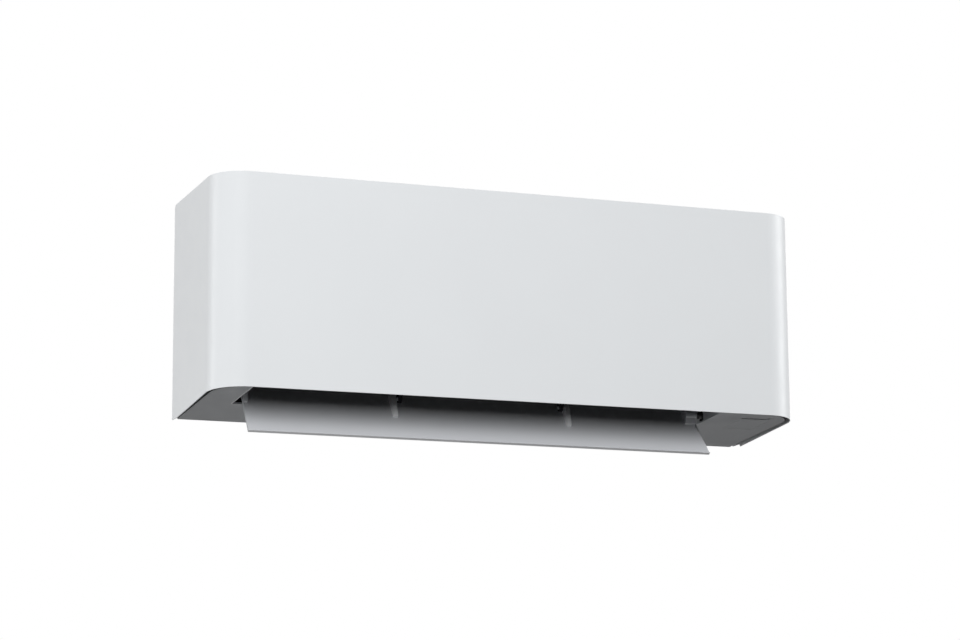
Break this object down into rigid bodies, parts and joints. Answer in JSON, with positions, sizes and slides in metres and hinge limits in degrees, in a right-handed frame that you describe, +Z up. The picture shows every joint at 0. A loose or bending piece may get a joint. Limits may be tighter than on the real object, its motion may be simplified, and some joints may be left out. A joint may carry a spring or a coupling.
{
  "type": "mini split indoor unit",
  "caption": "Wall-hung air conditioner indoor unit with a wrap-around white cover, open deflector, linked upright vanes, cross-flow fan, heat exchanger and wall plate.",
  "frame": {"origin": "centre of the wall plate's back face, on the wall", "axes": "+X to the right as seen from the room, +Y into the wall, +Z up"},
  "size_m": [0.84, 0.224, 0.3395],
  "materials": {
    "cover_white": "satin moulded white",
    "panel_white": "fine matt white",
    "casing_grey": "moulded light grey",
    "vane_grey": "moulded grey",
    "fin_aluminium": "fine fins, pale blue coating",
    "end_steel": "galvanised sheet",
    "copper": "drawn copper tube",
    "union_brass": "turned brass",
    "plate_steel": "galvanised sheet",
    "fan_plastic": "dark glass-filled plastic",
    "shaft_steel": "ground steel",
    "bearing_rubber": "black rubber",
    "motor_steel": "zinc-plated can",
    "drive_plastic": "acetal",
    "filter_plastic": "blue-grey moulding",
    "filter_net": "fine nylon net",
    "box_plastic": "moulded off-white",
    "board_green": "green board with parts",
    "terminal_dark": "black moulding",
    "sensor_dark": "black clip",
    "screw_zinc": "zinc plated"
  },
  "bodies": {
    "root": {"bearing_bracket": "casing_grey", "bottom_panel": "panel_white", "coil_bends_left": "copper", "coil_bends_right": "copper", "coil_end_left": "end_steel", "coil_end_right": "end_steel", "coil_front": "fin_aluminium", "coil_rear": "fin_aluminium", "coil_upper": "fin_aluminium", "control_board": "board_green", "control_box": "box_plastic", "control_lid": "box_plastic", "display_board": "box_plastic", "fan_bearing": "bearing_rubber", "fan_motor": "motor_steel", "filter_frame_left": "filter_plastic", "filter_frame_right": "filter_plastic", "filter_mesh_left": "filter_net", "filter_mesh_right": "filter_net", "flap_bracket_left": "casing_grey", "flap_bracket_right": "casing_grey", "flap_motor": "motor_steel", "gas_pipe": "copper", "gas_union": "union_brass", "lid_screws": "screw_zinc", "liquid_pipe": "copper", "liquid_union": "union_brass", "motor_bracket": "casing_grey", "motor_cap": "casing_grey", "outlet_housing": "casing_grey", "pipe_clamp": "casing_grey", "rear_air_guide": "casing_grey", "rear_casing": "casing_grey", "room_sensor": "sensor_dark", "service_hatch": "panel_white", "terminal_block": "terminal_dark", "top_grille": "panel_white", "vane_rails": "casing_grey", "wall_plate": "plate_steel"},
    "deflector": {"flap": "panel_white", "flap_drive": "drive_plastic"},
    "fan": {"fan_rotor": "fan_plastic", "fan_shaft": "shaft_steel", "motor_shaft": "shaft_steel"},
    "cover": {"front_cover": "cover_white"},
    "button": {"manual_button": "box_plastic"},
    "vane_left_1": {"vane_left_1": "vane_grey"},
    "vane_left_2": {"vane_left_2": "vane_grey"},
    "vane_left_3": {"vane_left_3": "vane_grey"},
    "vane_left_4": {"vane_left_4": "vane_grey"},
    "vane_left_5": {"vane_left_5": "vane_grey"},
    "link_left": {"link_bar_left": "vane_grey"},
    "vane_right_1": {"vane_right_1": "vane_grey"},
    "vane_right_2": {"vane_right_2": "vane_grey"},
    "vane_right_3": {"vane_right_3": "vane_grey"},
    "vane_right_4": {"vane_right_4": "vane_grey"},
    "vane_right_5": {"vane_right_5": "vane_grey"},
    "link_right": {"link_bar_right": "vane_grey"}
  },
  "joints": [
    {"name": "deflector_turn", "type": "hinge", "parent": "root", "child": "deflector", "pos_m": [0, -0.1512, -0.1368], "axis": [1, 0, 0], "range_deg": [-58, 18]},
    {"name": "fan_spin", "type": "hinge", "parent": "root", "child": "fan", "pos_m": [0, -0.099, -0.009], "axis": [1, 0, 0], "continuous": true},
    {"name": "cover_lift", "type": "hinge", "parent": "root", "child": "cover", "pos_m": [0, -0.2155, 0.1355], "axis": [1, 0, 0], "range_deg": [-60, 0]},
    {"name": "button_press", "type": "slide", "parent": "root", "child": "button", "axis": [0, 1, 0], "range_m": [0, 0.0015], "stiffness_N_per_m": 300, "springref_m": -0.001},
    {"name": "vane_left_1_turn", "type": "hinge", "parent": "root", "child": "vane_left_1", "pos_m": [-0.3336, -0.08631, -0.09619], "axis": [0, -0.8703, 0.4926], "range_deg": [-35, 35]},
    {"name": "vane_left_2_turn", "type": "hinge", "parent": "root", "child": "vane_left_2", "pos_m": [-0.2668, -0.08631, -0.09619], "axis": [0, -0.8703, 0.4926], "range_deg": [-35, 35]},
    {"name": "vane_left_3_turn", "type": "hinge", "parent": "root", "child": "vane_left_3", "pos_m": [-0.2, -0.08631, -0.09619], "axis": [0, -0.8703, 0.4926], "range_deg": [-35, 35]},
    {"name": "vane_left_4_turn", "type": "hinge", "parent": "root", "child": "vane_left_4", "pos_m": [-0.1332, -0.08631, -0.09619], "axis": [0, -0.8703, 0.4926], "range_deg": [-35, 35]},
    {"name": "vane_left_5_turn", "type": "hinge", "parent": "root", "child": "vane_left_5", "pos_m": [-0.0664, -0.08631, -0.09619], "axis": [0, -0.8703, 0.4926], "range_deg": [-35, 35]},
    {"name": "link_left_turn", "type": "hinge", "parent": "vane_left_1", "child": "link_left", "pos_m": [-0.3336, -0.09272, -0.10751], "axis": [0, -0.8703, 0.4926], "range_deg": [-35, 35]},
    {"name": "vane_right_1_turn", "type": "hinge", "parent": "root", "child": "vane_right_1", "pos_m": [0.0004, -0.08631, -0.09619], "axis": [0, -0.8703, 0.4926], "range_deg": [-35, 35]},
    {"name": "vane_right_2_turn", "type": "hinge", "parent": "root", "child": "vane_right_2", "pos_m": [0.0672, -0.08631, -0.09619], "axis": [0, -0.8703, 0.4926], "range_deg": [-35, 35]},
    {"name": "vane_right_3_turn", "type": "hinge", "parent": "root", "child": "vane_right_3", "pos_m": [0.134, -0.08631, -0.09619], "axis": [0, -0.8703, 0.4926], "range_deg": [-35, 35]},
    {"name": "vane_right_4_turn", "type": "hinge", "parent": "root", "child": "vane_right_4", "pos_m": [0.2008, -0.08631, -0.09619], "axis": [0, -0.8703, 0.4926], "range_deg": [-35, 35]},
    {"name": "vane_right_5_turn", "type": "hinge", "parent": "root", "child": "vane_right_5", "pos_m": [0.2676, -0.08631, -0.09619], "axis": [0, -0.8703, 0.4926], "range_deg": [-35, 35]},
    {"name": "link_right_turn", "type": "hinge", "parent": "vane_right_1", "child": "link_right", "pos_m": [0.0004, -0.09272, -0.10751], "axis": [0, -0.8703, 0.4926], "range_deg": [-35, 35]}
  ],
  "couplings": [
    {"joint": "vane_left_2_turn", "follows": "vane_left_1_turn", "ratio": 1},
    {"joint": "vane_left_3_turn", "follows": "vane_left_1_turn", "ratio": 1},
    {"joint": "vane_left_4_turn", "follows": "vane_left_1_turn", "ratio": 1},
    {"joint": "vane_left_5_turn", "follows": "vane_left_1_turn", "ratio": 1},
    {"joint": "link_left_turn", "follows": "vane_left_1_turn", "ratio": -1},
    {"joint": "vane_right_2_turn", "follows": "vane_right_1_turn", "ratio": 1},
    {"joint": "vane_right_3_turn", "follows": "vane_right_1_turn", "ratio": 1},
    {"joint": "vane_right_4_turn", "follows": "vane_right_1_turn", "ratio": 1},
    {"joint": "vane_right_5_turn", "follows": "vane_right_1_turn", "ratio": 1},
    {"joint": "link_right_turn", "follows": "vane_right_1_turn", "ratio": -1}
  ]
}
